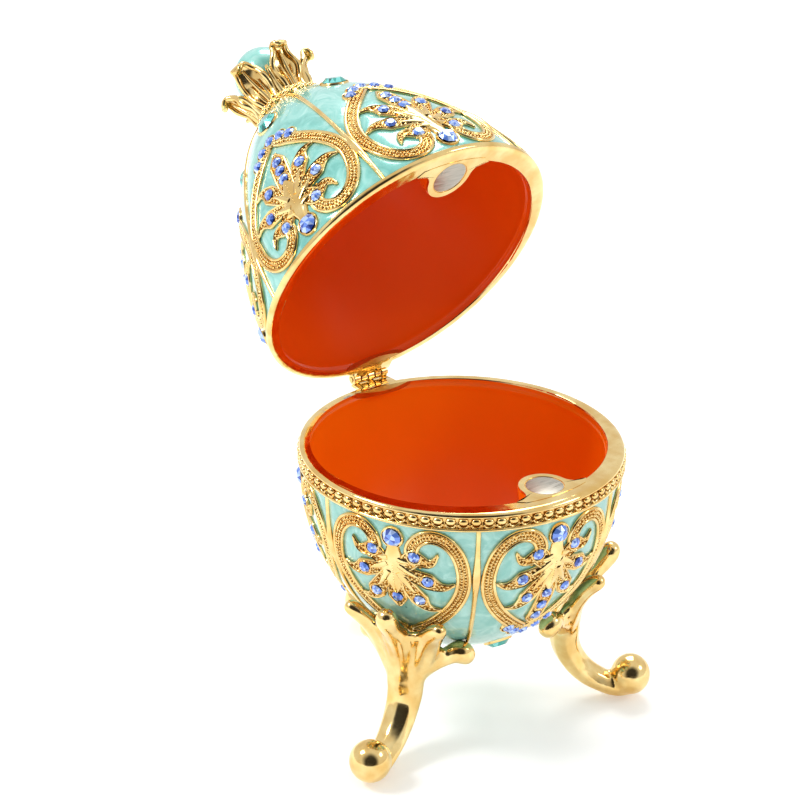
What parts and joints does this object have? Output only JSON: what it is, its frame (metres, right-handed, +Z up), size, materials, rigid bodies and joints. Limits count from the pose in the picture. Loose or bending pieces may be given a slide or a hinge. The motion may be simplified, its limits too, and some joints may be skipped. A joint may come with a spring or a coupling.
{
  "type": "jewelled egg trinket box",
  "caption": "Enamelled metal egg box on scroll feet, with a hinged lid that stands open, gilded hearts and leaves in relief, set stones and a crown finial.",
  "frame": {"origin": "middle of the box around the part as it stands with its lid open, on the ground", "axes": "+Z up along the egg's axis, +Y towards the hinge at the back, -Y towards the magnets at the front"},
  "size_m": [0.061, 0.0934, 0.11],
  "materials": {
    "gold": "polished gilding",
    "aqua_enamel": "glossy pearl enamel",
    "orange_enamel": "glossy enamel lining",
    "blue_stone": "faceted glass",
    "teal_stone": "faceted glass",
    "magnet": "nickel plate"
  },
  "bodies": {
    "base": {"cup": "aqua_enamel", "leg_back": "gold", "leg_left": "gold", "leg_right": "gold", "magnet_cup": "magnet", "hinge_leaf_cup": "gold", "hinge_pin": "gold", "blue_stone_cup_1": "blue_stone", "blue_stone_cup_2": "blue_stone", "blue_stone_cup_3": "blue_stone", "blue_stone_cup_4": "blue_stone", "blue_stone_cup_5": "blue_stone", "blue_stone_cup_6": "blue_stone", "teal_stone_cup_1": "teal_stone", "teal_stone_cup_3": "teal_stone", "teal_stone_cup_5": "teal_stone"},
    "lid": {"lid": "aqua_enamel", "crown": "gold", "crown_ball": "aqua_enamel", "magnet_lid": "magnet", "hinge_leaf_lid": "gold", "blue_stone_lid_1": "blue_stone", "blue_stone_lid_2": "blue_stone", "blue_stone_lid_3": "blue_stone", "blue_stone_lid_4": "blue_stone", "blue_stone_lid_5": "blue_stone", "blue_stone_lid_6": "blue_stone", "teal_stone_lid_1": "teal_stone", "teal_stone_lid_2": "teal_stone", "teal_stone_lid_3": "teal_stone", "teal_stone_lid_4": "teal_stone", "teal_stone_lid_5": "teal_stone", "teal_stone_lid_6": "teal_stone"}
  },
  "joints": [
    {"name": "lid_hinge", "type": "hinge", "parent": "base", "child": "lid", "pos_m": [0.00412, 0.01172, 0.05244], "axis": [1, 0, 0], "range_deg": [0, 61.8]}
  ]
}
